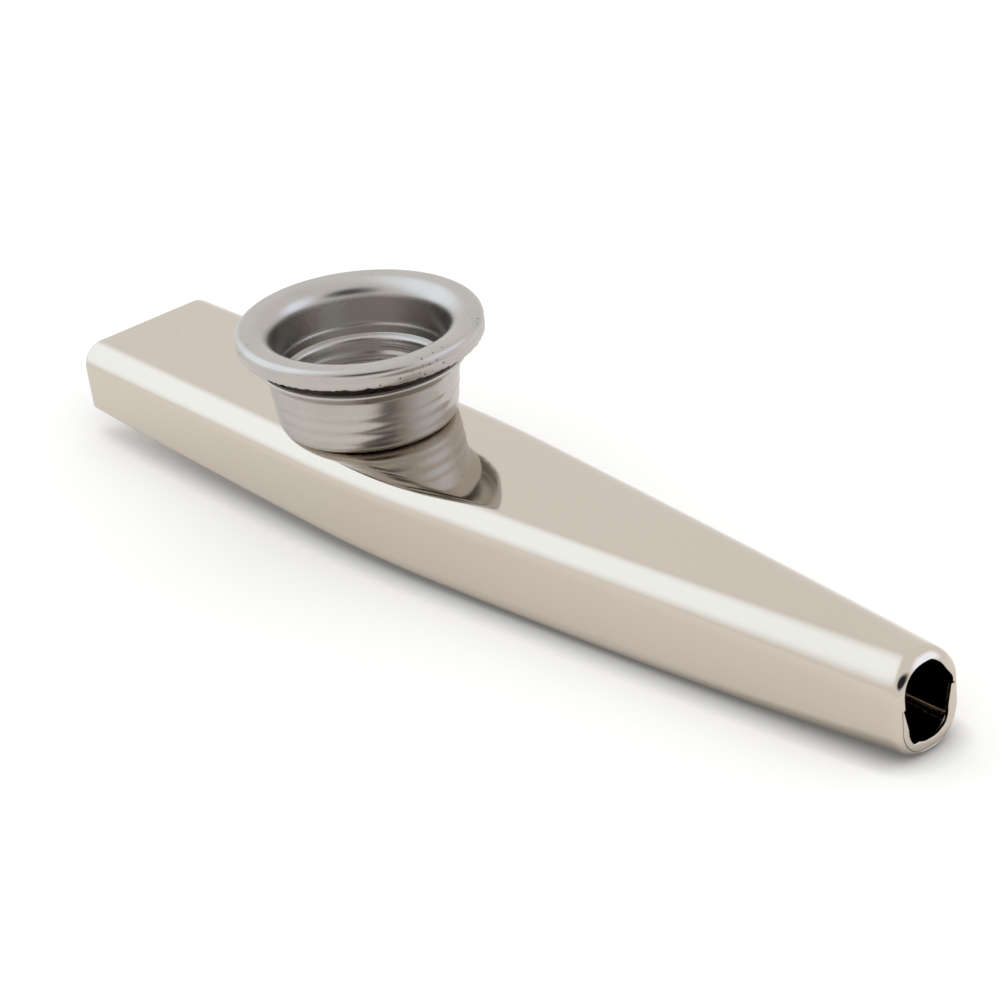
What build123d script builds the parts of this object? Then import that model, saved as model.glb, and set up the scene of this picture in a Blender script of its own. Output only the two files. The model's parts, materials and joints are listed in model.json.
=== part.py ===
from build123d import *
import math
import os

# Metal kazoo: a folded sheet body with a threaded turret, a screw ring and a membrane.
# Millimetres. +X runs from the wide mouth end to the nose and +Z is up. The body lies on z = 0
# and the origin is midway along its length.

# Body plan and depth
body_length = 120.0
mouth_width = 18.7
shoulder_width = 20.25
shoulder_station = 50.5
shoulder_bend_radius = 180.0
nose_width = 8.3
body_depth = 10.45
belly_radius = 2380.0
belly_low_station = 115.0
mouth_lean = 0.9

# Sheet, the section's corners, which grow round towards the nose, and the bends at both ends
sheet = 0.5
mouth_top_radius = 2.7
nose_top_radius = 3.9
mouth_bottom_radius = 0.7
nose_bottom_radius = 3.8
rounding_power = 5
section_count = 12
mouth_edge_radius = 0.7
nose_edge_radius = 1.6
least_bend_radius = 0.15
roundest_corner_share = 0.48

# Lip turned in at the mouth, and the nose opening, whose lips above and below the seam differ
mouth_lip = 0.9
nose_seam_depth = 5.0
nose_top_lip = 1.3
nose_side_lip = 0.9
nose_lower_lip = 0.7

# Bottom plate, nested in the folded edges of the upper shell
hem_width = 1.8
hem_nose_gap = 5.0
nest_gap = 0.05
plate_flange_height = 2.6
plate_ramp_length = 12.0
plate_side_lip = 1.3
plate_bottom_lip = 1.4

# Turret collar, whose wall widens from its foot to its lip
turret_station = 40.5
clinch_edge_gap = 0.25
clinch_width = 0.8
neck_clearance = 0.05
collar_radius = 9.6
collar_taper = 0.8
collar_shoulder_bend = 0.9
collar_wall_height = 6.5
collar_flare_bend = 0.8
collar_flare_reach = 0.75
collar_flare_rise = 1.0
tight_bend = 0.3

# Screw ring
ring_stand = 3.95
rim_radius = 13.3
rim_drop = 1.75
rim_bend = 0.75
throat_bend = 1.9
widest_throat_bend_share = 0.95
throat_taper = 0.7
throat_step = 0.7
throat_step_rise = 0.35
skirt_height = 3.15
skirt_bend = 0.3
thread_gap = 0.3
seat_edge_width = 1.05
seat_edge_bend = 0.4

# Membrane
membrane_gap = 0.2
membrane_ring_width = 1.3
membrane_ring_height = 1.3
film_thickness = 0.1
clamp_clearance = 0.05

# Places that follow from the sizes above
mouth_x = -body_length / 2
nose_x = body_length / 2
top_z = body_depth
seam_z = top_z - nose_seam_depth
turret_x = mouth_x + turret_station
half_sheet = sheet / 2
nest = sheet + nest_gap
rear_slope = (shoulder_width - mouth_width) / 2 / shoulder_station
front_slope = (shoulder_width - nose_width) / 2 / (body_length - shoulder_station)
shoulder_bend_half = shoulder_bend_radius * (rear_slope + front_slope) / 2
collar_lip_height = collar_wall_height + collar_flare_rise
ring_height = collar_lip_height + ring_stand
skirt_radius = collar_radius - sheet - thread_gap
throat_radius = skirt_radius + throat_step
membrane_radius = collar_radius - half_sheet - collar_shoulder_bend - membrane_gap
seat_z = sheet
film_z = seat_z + membrane_ring_height
ring_foot_z = film_z + film_thickness + clamp_clearance
beyond = 2 * body_length


def half_width(station):
    """Half width of the body, whose flanks run straight to either side of the shoulder bend."""
    rear = mouth_width / 2 + rear_slope * station
    front = nose_width / 2 + front_slope * (body_length - station)
    into_bend = station - shoulder_station + shoulder_bend_half
    if 0 < into_bend < 2 * shoulder_bend_half:
        return rear - into_bend ** 2 / (2 * shoulder_bend_radius)
    return min(rear, front)


def belly_z(station, inset=0.0):
    """Height of the belly, set in by the given amount."""
    along = station - belly_low_station
    return belly_radius - math.sqrt((belly_radius - inset) ** 2 - along ** 2)


def belly_drum(inset):
    """The large drum whose underside is the belly of the body, set in by the given amount."""
    centre = Pos(mouth_x + belly_low_station, 0, belly_radius)
    return centre * Rot(90, 0, 0) * Cylinder(belly_radius - inset, beyond)


def rounding(mouth_radius, nose_radius, station):
    """Radius of a section's corner, which grows towards the nose."""
    share = max(station, 0) / body_length
    return mouth_radius + (nose_radius - mouth_radius) * share ** rounding_power


neck_flat = half_width(turret_station) - rounding(mouth_top_radius, nose_top_radius, turret_station)
neck_radius = neck_flat - clinch_edge_gap - clinch_width


def body_section(station, inset):
    """Section across the body, flat below and above, with each corner limited by its walls."""
    width = 2 * (half_width(station) - inset)
    low, high = belly_z(station, inset), top_z - inset
    section = Pos(0, (low + high) / 2) * Rectangle(width, high - low)
    for row, mouth_radius, nose_radius in (
        (0, mouth_bottom_radius, nose_bottom_radius), (-1, mouth_top_radius, nose_top_radius),
    ):
        radius = max(rounding(mouth_radius, nose_radius, station) - inset, least_bend_radius)
        corners = section.vertices().group_by(Axis.Y)[row]
        section = fillet(corners, min(radius, roundest_corner_share * min(width, high - low)))
    return Plane((mouth_x + station, 0, 0), x_dir=(0, 1, 0), z_dir=(1, 0, 0)) * section


def beyond_plane(origin, direction):
    """A block that reaches far to one side of a plane through a point."""
    return extrude(Plane(origin, z_dir=direction) * Rectangle(beyond, beyond), beyond)


def end_edges(form, x):
    """The loop of edges round the flat end of a body form."""
    return form.faces().sort_by(lambda face: abs(face.center().X - x))[0].edges()


def body_form(inset, mouth_reach=None):
    """The body's outer form, or the same form set in from it on every side.

    With a reach, the mouth end runs on by that much and keeps its square edge.
    """
    end_inset = inset - (mouth_reach or 0)
    inner = [body_length * step / section_count for step in range(1, section_count)]
    stations = [end_inset - mouth_lean] + inner + [body_length - inset]
    form = loft([body_section(station, inset) for station in stations])
    form -= beyond_plane((mouth_x + end_inset, 0, top_z), (-top_z, 0, -mouth_lean))
    form = fillet(end_edges(form, nose_x - inset), max(nose_edge_radius - inset, least_bend_radius))
    if mouth_reach is None:
        form = fillet(end_edges(form, mouth_x + inset), max(mouth_edge_radius - inset, least_bend_radius))
    return form


def nose_opening(side_lip, reach):
    """Prism through the nose's end, round at both ends and as far up from the seam as down."""
    width = nose_width - 2 * side_lip
    outline = RectangleRounded(width, 2 * reach, roundest_corner_share * min(width, 2 * reach))
    placed = Plane((nose_x, 0, seam_z), x_dir=(0, 1, 0), z_dir=(1, 0, 0)) * outline
    return extrude(placed, 2 * nose_edge_radius, both=True)


def reach_below_seam(lip):
    """How far an opening goes down from the seam to leave a lip above the belly."""
    return seam_z - belly_z(body_length) - lip


def make_upper_shell():
    """Top, sides and hems, bent from one sheet and closed to a ring at the nose."""
    shell = body_form(0) - body_form(sheet) - body_form(mouth_lip, mouth_reach=3 * mouth_lip)
    arch = nose_opening(nose_side_lip, nose_seam_depth - nose_top_lip)
    shell -= arch & beyond_plane((nose_x, 0, seam_z), (0, 0, 1))
    cradle = nose_opening(nose_lower_lip, reach_below_seam(nose_lower_lip))
    shell -= cradle & beyond_plane((nose_x, 0, seam_z), (0, 0, -1))
    between_hems = Pos(0, 0, -2 * hem_width) * body_form(hem_width, mouth_reach=3 * hem_width)
    shell -= between_hems & beyond_plane((nose_x - hem_nose_gap, 0, 0), (-1, 0, 0))
    shell -= Pos(turret_x, 0, top_z) * Cylinder(neck_radius + neck_clearance, 2 * sheet)
    return shell


def make_bottom_plate():
    """Channel under the body, its flanges up inside the sides and its nose up to the seam."""
    plate = body_form(nest, mouth_reach=0)
    plate -= body_form(nest + sheet, mouth_reach=2 * nest)
    ramp_x = nose_x - plate_ramp_length
    edge_z = seam_z - nest_gap
    ramp_top_x = nose_x - plate_ramp_length / 2
    nose_side = Polyline((ramp_x, 0), (ramp_top_x, edge_z), (nose_x, edge_z), (nose_x, 0), close=True)
    nose_zone = extrude(Plane.XZ * make_face(nose_side), nose_width, both=True)
    plate -= belly_drum(nest + plate_flange_height) - nose_zone
    return plate - nose_opening(plate_side_lip, reach_below_seam(plate_bottom_lip))


def turned_sheet(points, bends):
    """Sheet turned about the turret's axis, from the radius and height of its middle line."""
    middle_line = FilletPolyline(*points, radius=bends)
    section = trace(middle_line, line_width=sheet)
    return Pos(turret_x, 0, top_z) * Rot(90, 0, 0) * revolve(section, Axis.Y)


def make_collar():
    """Cup that holds the thread, clinched through the top sheet and flared at its lip."""
    neck = neck_radius - half_sheet
    wall = collar_radius - half_sheet
    clinch_z = -sheet - half_sheet
    points = [
        (neck_radius + clinch_width, clinch_z), (neck, clinch_z), (neck, half_sheet), (wall, half_sheet),
        (wall + collar_taper, collar_wall_height),
        (collar_radius + collar_taper + collar_flare_reach, collar_lip_height),
    ]
    bends = [tight_bend, tight_bend, collar_shoulder_bend, collar_flare_bend]
    return turned_sheet(points, bends)


def make_screw_ring():
    """Ring with a curled rim, a rounded throat and a skirt that screws into the collar."""
    rim = rim_radius - half_sheet
    flange_z = ring_height - half_sheet
    throat = throat_radius - half_sheet
    skirt = skirt_radius - half_sheet
    throat_top = throat + throat_taper
    skirt_top_z = ring_foot_z + skirt_height
    foot_z = ring_foot_z + half_sheet
    points = [
        (rim, ring_height - rim_drop), (rim, flange_z), (throat_top, flange_z),
        (throat, skirt_top_z + throat_step_rise), (skirt, skirt_top_z), (skirt, foot_z),
        (skirt - half_sheet - seat_edge_width, foot_z),
    ]
    curl = rim_bend - half_sheet
    throat_curve = min(throat_bend, widest_throat_bend_share * (rim - throat_top - curl))
    bends = [curl, throat_curve, skirt_bend, skirt_bend, seat_edge_bend]
    return turned_sheet(points, bends)


def flat_disc(radius, height, base_z):
    """Disc about the turret's axis, standing on a height above the top of the body."""
    return Pos(turret_x, 0, top_z + base_z + height / 2) * Cylinder(radius, height)


def make_membrane_ring():
    """Flat ring that stretches the film, lying on the floor of the collar."""
    window = flat_disc(membrane_radius - membrane_ring_width, membrane_ring_height, seat_z)
    return flat_disc(membrane_radius, membrane_ring_height, seat_z) - window


parts = {
    "upper_shell": make_upper_shell(),
    "bottom_plate": make_bottom_plate(),
    "turret_collar": make_collar(),
    "screw_ring": make_screw_ring(),
    "membrane_ring": make_membrane_ring(),
    "membrane_film": flat_disc(membrane_radius, film_thickness, film_z),
}

os.makedirs("parts", exist_ok=True)
for name, solid in parts.items():
    export_step(solid, f"parts/{name}.step")
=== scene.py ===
"""Looks of a metal kazoo: its plated sheet body, spun turret and membrane, in a plain studio."""

import json
import logging
import math
from collections.abc import Callable
from dataclasses import dataclass, field
from enum import Enum

import bmesh
import bpy
from mathutils import Matrix, Vector, noise


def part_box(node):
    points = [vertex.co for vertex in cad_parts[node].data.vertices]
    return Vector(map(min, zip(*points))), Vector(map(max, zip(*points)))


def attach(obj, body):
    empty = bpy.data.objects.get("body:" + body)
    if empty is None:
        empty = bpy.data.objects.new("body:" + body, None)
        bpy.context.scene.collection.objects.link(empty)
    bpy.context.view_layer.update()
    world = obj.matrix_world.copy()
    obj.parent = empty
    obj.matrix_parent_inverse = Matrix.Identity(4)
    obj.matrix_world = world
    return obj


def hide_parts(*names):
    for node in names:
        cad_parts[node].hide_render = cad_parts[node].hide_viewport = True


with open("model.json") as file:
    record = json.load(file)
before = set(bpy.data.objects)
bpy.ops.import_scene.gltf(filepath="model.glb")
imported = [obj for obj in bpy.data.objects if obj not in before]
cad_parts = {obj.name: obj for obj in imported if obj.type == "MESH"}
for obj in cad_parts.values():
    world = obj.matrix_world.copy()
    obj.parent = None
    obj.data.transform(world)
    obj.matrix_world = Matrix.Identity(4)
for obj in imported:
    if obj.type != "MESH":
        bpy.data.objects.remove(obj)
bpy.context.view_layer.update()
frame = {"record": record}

log = logging.getLogger("kazoo")

MM = 0.001
QUARTER_TURN = math.pi / 2
SMOOTH_BELOW = math.radians(32.0)
MERGE_DISTANCE_M = 1e-7

# Range that most values of Blender's noise texture lie in
NOISE_RANGE = (0.3, 0.7)

# Radians that Blender's wave texture turns through for each unit of its scaled coordinate
WAVE_TURN = 20.0

# Colour sockets of Blender's Mix node, which shares their names with its other types
MIX_A = 6
MIX_B = 7
MIX_RESULT = 2

Pair = tuple[float, float]
Triple = tuple[float, float, float]
Face = tuple[int, ...]
Shift = Callable[[float, float, float], Pair]


class Body(Enum):
    """Bodies of the frame that pieces move with."""

    KAZOO = "kazoo_body"
    MEMBRANE = "membrane"
    RING = "ring"


class Slot(Enum):
    """Material slots of the record."""

    PLATED = "plated_body"
    TURRET = "satin_turret"
    CARRIER = "membrane_ring"
    FILM = "membrane_film"


class Zone(Enum):
    """Stretches of the body's half section, from under its middle line round to over it."""

    BELLY = "belly"
    HEM = "hem"
    SIDE = "side"
    SHOULDER = "shoulder"
    CROWN = "crown"


def linear(hex_colour: str) -> tuple[float, float, float, float]:
    """Turn an sRGB hex colour to linear light, by the curve of the sRGB standard.

    Args:
        hex_colour: Colour as "#RRGGBB".

    Returns:
        Linear red, green and blue, with an alpha of 1.
    """
    channels = [int(hex_colour[start:start + 2], 16) / 255 for start in (1, 3, 5)]
    red, green, blue = (
        level / 12.92 if level <= 0.04045 else ((level + 0.055) / 1.055) ** 2.4 for level in channels)
    return (red, green, blue, 1.0)


def per_metre(feature_mm: float) -> float:
    """Texture scale that gives a pattern's features the given real size."""
    return 1.0 / (feature_mm * MM)


def mix(start: float, end: float, share: float) -> float:
    """Go a share of the way from one value to another."""
    return start + (end - start) * share


def ease(low: float, high: float, value: float) -> float:
    """Rise smoothly from 0 at the low value to 1 at the high one."""
    share = min(max((value - low) / (high - low), 0.0), 1.0)
    return share * share * (3 - 2 * share)


def add_node(
    tree: bpy.types.NodeTree, kind: str, settings: dict[str, object] | None = None,
    inputs: dict[str | int, object] | None = None
) -> bpy.types.Node:
    """Add a node to a tree, with its settings, values and links.

    Args:
        tree: Node tree of a material or of the world.
        kind: Blender's name of the node type.
        settings: Properties of the node by name.
        inputs: Value of each input, or the output that it is linked to, by name or number.

    Returns:
        The new node.
    """
    node = tree.nodes.new(kind)
    for name, value in (settings or {}).items():
        setattr(node, name, value)
    for name, value in (inputs or {}).items():
        if isinstance(value, bpy.types.NodeSocket):
            tree.links.new(value, node.inputs[name])
        else:
            node.inputs[name].default_value = value
    return node


def new_material(name: str) -> tuple[bpy.types.Material, bpy.types.NodeTree]:
    """Make an empty node material.

    Args:
        name: Name of the material.

    Returns:
        The material and its node tree.
    """
    material = bpy.data.materials.new(name)
    material.use_nodes = True
    material.node_tree.nodes.clear()
    return material, material.node_tree


def make_object(name: str, points: list[Triple], faces: list[Face]) -> bpy.types.Object:
    """Make a mesh object from points in millimetres.

    Args:
        name: Name of the object.
        points: Corners in the frame's axes, in millimetres.
        faces: Corner numbers of each face.

    Returns:
        The linked object, with merged corners and outward faces.
    """
    mesh = bpy.data.meshes.new(name)
    mesh.from_pydata([Vector(point) * MM for point in points], [], faces)
    shape = bmesh.new()
    shape.from_mesh(mesh)
    bmesh.ops.remove_doubles(shape, verts=shape.verts, dist=MERGE_DISTANCE_M)
    loose = [vert for vert in shape.verts if not vert.link_faces]
    bmesh.ops.delete(shape, geom=loose, context="VERTS")
    bmesh.ops.recalc_face_normals(shape, faces=shape.faces)
    shape.to_mesh(mesh)
    shape.free()
    made = bpy.data.objects.new(name, mesh)
    bpy.context.scene.collection.objects.link(made)
    return made


def make_rectangle(name: str, half_wide_m: float, half_high_m: float) -> bpy.types.Object:
    """Make a flat rectangle about the origin, facing up.

    Args:
        name: Name of the object.
        half_wide_m: Half of its width, in metres.
        half_high_m: Half of its height, in metres.

    Returns:
        The linked object.
    """
    wide, high = half_wide_m / MM, half_high_m / MM
    corners = [(-wide, -high, 0.0), (wide, -high, 0.0), (wide, high, 0.0), (-wide, high, 0.0)]
    return make_object(name, corners, [(0, 1, 2, 3)])


def finish_piece(
    piece: bpy.types.Object, material: bpy.types.Material, body: Body, node: str
) -> None:
    """Shade a piece, dress it and tie it to the frame.

    Args:
        piece: The mesh object.
        material: Its finish.
        body: Body of the frame that it moves with.
        node: CAD node that it stands for.
    """
    piece.data.shade_smooth()
    piece.data.set_sharp_from_angle(angle=SMOOTH_BELOW)
    piece.data.materials.clear()
    piece.data.materials.append(material)
    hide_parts(node)
    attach(piece, body.value)
    log.info("%s: %d faces on %s", piece.name, len(piece.data.polygons), body.value)


def grid_faces(rows: int, columns: int, close_columns: bool) -> list[Face]:
    """Faces of a grid of points whose last row joins the first.

    Args:
        rows: Number of rows.
        columns: Number of points in a row.
        close_columns: Whether the last column joins the first.

    Returns:
        The faces, one for each cell.
    """
    faces = []
    for row in range(rows):
        below = row * columns
        above = (row + 1) % rows * columns
        for column in range(columns if close_columns else columns - 1):
            beside = (column + 1) % columns
            faces.append((below + column, below + beside, above + beside, above + column))
    return faces


def revolve(
    name: str, outline: list[Pair], axis: Pair, segments: int,
    closed: bool = True, shift: Shift | None = None
) -> bpy.types.Object:
    """Turn an outline about an upright axis in the body's middle plane.

    Args:
        name: Name of the object.
        outline: Radii and heights, in millimetres.
        axis: Place of the axis along X, and the height that the outline's heights start from.
        segments: Number of steps round the axis.
        closed: Whether the outline is a loop, and not a line from the axis back to the axis.
        shift: Gives how far a point moves out and up, from its angle, radius and height.

    Returns:
        The mesh object.
    """
    axis_x, base = axis
    points = []
    for number in range(segments):
        turn = 2 * math.pi * number / segments
        for radius, height in outline:
            out, up = shift(turn, radius, height) if shift else (0.0, 0.0)
            reach = radius + out
            points.append((axis_x + reach * math.cos(turn), reach * math.sin(turn), base + height + up))
    return make_object(name, points, grid_faces(segments, len(outline), closed))


@dataclass(frozen=True)
class BrightNickelPlate:
    """Nickel electroplated on rolled brass sheet: a warm mirror with faint ripples of the rolling."""

    colour: str = "#CDC3B7"
    worn_colour: str = "#C6BBAE"
    tone_mm: float = 30.0
    tone_octaves: float = 3.0
    roughness: Pair = (0.045, 0.085)
    haze_mm: float = 4.0
    haze_octaves: float = 4.0
    ripple_mm: float = 11.0
    ripple_octaves: float = 1.0
    ripple_height_mm: float = 0.012
    pit_mm: float = 0.9
    pit_octaves: float = 2.0
    pit_height_mm: float = 0.004
    pit_strength: float = 0.15
    speck_colour: str = "#8F877D"
    speck_spacing_mm: float = 11.0
    speck_radius_mm: float = 0.16

    def material(self) -> bpy.types.Material:
        """Build the finish.

        Returns:
            The material.
        """
        material, tree = new_material("nickel_plate_bright")
        place = add_node(tree, "ShaderNodeTexCoord").outputs["Object"]
        tone = add_node(tree, "ShaderNodeTexNoise", inputs={
            "Vector": place, "Scale": per_metre(self.tone_mm), "Detail": self.tone_octaves})
        worn = add_node(tree, "ShaderNodeMix", {"data_type": "RGBA"}, {
            "Factor": tone.outputs["Fac"], MIX_A: linear(self.colour), MIX_B: linear(self.worn_colour)})
        specks = add_node(tree, "ShaderNodeTexVoronoi", inputs={
            "Vector": place, "Scale": per_metre(self.speck_spacing_mm)})
        clean = add_node(tree, "ShaderNodeMapRange", inputs={
            "Value": specks.outputs["Distance"], "From Min": 0.0,
            "From Max": self.speck_radius_mm / self.speck_spacing_mm})
        colour = add_node(tree, "ShaderNodeMix", {"data_type": "RGBA"}, {
            "Factor": clean.outputs["Result"], MIX_A: linear(self.speck_colour),
            MIX_B: worn.outputs[MIX_RESULT]})
        haze = add_node(tree, "ShaderNodeTexNoise", inputs={
            "Vector": place, "Scale": per_metre(self.haze_mm), "Detail": self.haze_octaves})
        roughness = add_node(tree, "ShaderNodeMapRange", inputs={
            "Value": haze.outputs["Fac"], "From Min": NOISE_RANGE[0], "From Max": NOISE_RANGE[1],
            "To Min": self.roughness[0], "To Max": self.roughness[1]})
        ripple = add_node(tree, "ShaderNodeTexNoise", inputs={
            "Vector": place, "Scale": per_metre(self.ripple_mm), "Detail": self.ripple_octaves})
        rippled = add_node(tree, "ShaderNodeBump", inputs={
            "Height": ripple.outputs["Fac"], "Distance": self.ripple_height_mm * MM, "Strength": 1.0})
        pits = add_node(tree, "ShaderNodeTexNoise", inputs={
            "Vector": place, "Scale": per_metre(self.pit_mm), "Detail": self.pit_octaves})
        pitted = add_node(tree, "ShaderNodeBump", inputs={
            "Height": pits.outputs["Fac"], "Distance": self.pit_height_mm * MM,
            "Strength": self.pit_strength, "Normal": rippled.outputs["Normal"]})
        surface = add_node(tree, "ShaderNodeBsdfPrincipled", inputs={
            "Base Color": colour.outputs[MIX_RESULT], "Metallic": 1.0,
            "Roughness": roughness.outputs["Result"], "Normal": pitted.outputs["Normal"]})
        add_node(tree, "ShaderNodeOutputMaterial", inputs={"Surface": surface.outputs["BSDF"]})
        return material


@dataclass(frozen=True)
class SpunSatinNickel:
    """Nickel on spun brass, left satin: a grey sheen drawn out along fine turning lines, with pits."""

    axis_x_mm: float
    colour: str = "#BCB6B0"
    worn_colour: str = "#AEA9A3"
    pit_colour: str = "#5C554E"
    tone_mm: float = 5.0
    tone_octaves: float = 4.0
    roughness: Pair = (0.24, 0.34)
    line_mm: float = 2.2
    line_wander: float = 1.5
    line_octaves: float = 3.0
    line_octave_scale: float = 2.0
    line_height_mm: float = 0.004
    line_strength: float = 0.6
    pit_mm: float = 0.7
    pit_height_mm: float = 0.08
    pit_strength: float = 0.6
    pit_share: float = 0.3
    pit_share_inside: float = 0.1
    least_pit_share: float = 0.001
    pitted_radii_mm: Pair = (11.6, 12.9)
    pit_patch_mm: float = 5.0
    pit_patch_octaves: float = 1.0
    pit_patch_levels: Pair = (0.45, 0.6)

    def material(self) -> bpy.types.Material:
        """Build the finish. Its turning lines are drawn coarser than real ones, so that they show.

        Returns:
            The material.
        """
        material, tree = new_material("nickel_spun_satin")
        place = add_node(tree, "ShaderNodeTexCoord").outputs["Object"]
        turned = add_node(tree, "ShaderNodeMapping", {"vector_type": "POINT"}, {
            "Vector": place, "Location": (-self.axis_x_mm * MM, 0.0, 0.0)}).outputs["Vector"]
        tone = add_node(tree, "ShaderNodeTexNoise", inputs={
            "Vector": place, "Scale": per_metre(self.tone_mm), "Detail": self.tone_octaves})
        worn = add_node(tree, "ShaderNodeMix", {"data_type": "RGBA"}, {
            "Factor": tone.outputs["Fac"], MIX_A: linear(self.colour), MIX_B: linear(self.worn_colour)})
        roughness = add_node(tree, "ShaderNodeMapRange", inputs={
            "Value": tone.outputs["Fac"], "From Min": NOISE_RANGE[0], "From Max": NOISE_RANGE[1],
            "To Min": self.roughness[0], "To Max": self.roughness[1]})
        rings = add_node(tree, "ShaderNodeTexWave", {
            "wave_type": "RINGS", "rings_direction": "SPHERICAL"}, {
            "Vector": turned, "Scale": per_metre(self.line_mm) * 2 * math.pi / WAVE_TURN,
            "Distortion": self.line_wander, "Detail": self.line_octaves,
            "Detail Scale": self.line_octave_scale})
        lined = add_node(tree, "ShaderNodeBump", inputs={
            "Height": rings.outputs["Fac"], "Distance": self.line_height_mm * MM,
            "Strength": self.line_strength})
        cells = add_node(tree, "ShaderNodeTexVoronoi", inputs={
            "Vector": place, "Scale": per_metre(self.pit_mm)})
        patches = add_node(tree, "ShaderNodeTexNoise", inputs={
            "Vector": place, "Scale": per_metre(self.pit_patch_mm), "Detail": self.pit_patch_octaves})
        level = add_node(tree, "ShaderNodeVectorMath", {"operation": "MULTIPLY"}, {
            0: turned, 1: (1.0, 1.0, 0.0)})
        radius = add_node(tree, "ShaderNodeVectorMath", {"operation": "LENGTH"}, {
            0: level.outputs["Vector"]})
        widest = add_node(tree, "ShaderNodeMapRange", inputs={
            "Value": radius.outputs["Value"], "From Min": self.pitted_radii_mm[0] * MM,
            "From Max": self.pitted_radii_mm[1] * MM, "To Min": self.pit_share_inside,
            "To Max": self.pit_share})
        reach = add_node(tree, "ShaderNodeMapRange", inputs={
            "Value": patches.outputs["Fac"], "From Min": self.pit_patch_levels[0],
            "From Max": self.pit_patch_levels[1], "To Min": self.least_pit_share,
            "To Max": widest.outputs["Result"]})
        hollow = add_node(tree, "ShaderNodeMapRange", inputs={
            "Value": cells.outputs["Distance"], "From Min": 0.0, "From Max": reach.outputs["Result"]})
        colour = add_node(tree, "ShaderNodeMix", {"data_type": "RGBA"}, {
            "Factor": hollow.outputs["Result"], MIX_A: linear(self.pit_colour),
            MIX_B: worn.outputs[MIX_RESULT]})
        pitted = add_node(tree, "ShaderNodeBump", inputs={
            "Height": hollow.outputs["Result"], "Distance": self.pit_height_mm * MM,
            "Strength": self.pit_strength, "Normal": lined.outputs["Normal"]})
        surface = add_node(tree, "ShaderNodeBsdfPrincipled", inputs={
            "Base Color": colour.outputs[MIX_RESULT], "Metallic": 1.0,
            "Roughness": roughness.outputs["Result"], "Normal": pitted.outputs["Normal"]})
        add_node(tree, "ShaderNodeOutputMaterial", inputs={"Surface": surface.outputs["BSDF"]})
        return material


@dataclass(frozen=True)
class MouldedPolystyrene:
    """Polystyrene moulded in a dull tool: off-white and even, with a soft grain and little gloss."""

    colour: str = "#E2DDD3"
    shade_colour: str = "#D8D2C6"
    grain_mm: float = 0.8
    grain_octaves: float = 3.0
    grain_height_mm: float = 0.01
    grain_strength: float = 0.5
    roughness: float = 0.5
    ior: float = 1.59

    def material(self) -> bpy.types.Material:
        """Build the finish.

        Returns:
            The material.
        """
        material, tree = new_material("polystyrene_moulded")
        place = add_node(tree, "ShaderNodeTexCoord").outputs["Object"]
        grain = add_node(tree, "ShaderNodeTexNoise", inputs={
            "Vector": place, "Scale": per_metre(self.grain_mm), "Detail": self.grain_octaves})
        colour = add_node(tree, "ShaderNodeMix", {"data_type": "RGBA"}, {
            "Factor": grain.outputs["Fac"], MIX_A: linear(self.colour), MIX_B: linear(self.shade_colour)})
        grained = add_node(tree, "ShaderNodeBump", inputs={
            "Height": grain.outputs["Fac"], "Distance": self.grain_height_mm * MM,
            "Strength": self.grain_strength})
        surface = add_node(tree, "ShaderNodeBsdfPrincipled", inputs={
            "Base Color": colour.outputs[MIX_RESULT], "Roughness": self.roughness, "IOR": self.ior,
            "Normal": grained.outputs["Normal"]})
        add_node(tree, "ShaderNodeOutputMaterial", inputs={"Surface": surface.outputs["BSDF"]})
        return material


@dataclass(frozen=True)
class WaxedPaperFilm:
    """Waxed tissue stretched on a ring: milky and fibrous, with a dull shine on its slack waves."""

    colour: str = "#D9D6D0"
    fibre_colour: str = "#CBC8C2"
    fibre_mm: float = 0.6
    fibre_octaves: float = 6.0
    fibre_wander: float = 1.2
    wave_mm: float = 3.5
    wave_octaves: float = 2.0
    wave_height_mm: float = 0.08
    wave_strength: float = 0.6
    roughness: float = 0.38
    ior: float = 1.44

    def material(self) -> bpy.types.Material:
        """Build the finish.

        Returns:
            The material.
        """
        material, tree = new_material("waxed_tissue_film")
        place = add_node(tree, "ShaderNodeTexCoord").outputs["Object"]
        fibres = add_node(tree, "ShaderNodeTexNoise", inputs={
            "Vector": place, "Scale": per_metre(self.fibre_mm), "Detail": self.fibre_octaves,
            "Distortion": self.fibre_wander})
        colour = add_node(tree, "ShaderNodeMix", {"data_type": "RGBA"}, {
            "Factor": fibres.outputs["Fac"], MIX_A: linear(self.colour), MIX_B: linear(self.fibre_colour)})
        waves = add_node(tree, "ShaderNodeTexNoise", inputs={
            "Vector": place, "Scale": per_metre(self.wave_mm), "Detail": self.wave_octaves})
        waved = add_node(tree, "ShaderNodeBump", inputs={
            "Height": waves.outputs["Fac"], "Distance": self.wave_height_mm * MM,
            "Strength": self.wave_strength})
        surface = add_node(tree, "ShaderNodeBsdfPrincipled", inputs={
            "Base Color": colour.outputs[MIX_RESULT], "Roughness": self.roughness, "IOR": self.ior,
            "Normal": waved.outputs["Normal"]})
        add_node(tree, "ShaderNodeOutputMaterial", inputs={"Surface": surface.outputs["BSDF"]})
        return material


@dataclass(frozen=True)
class Column:
    """Place on the body's section: a zone, the share of the way through it, and the side."""

    zone: Zone
    share: float
    side: int


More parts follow.
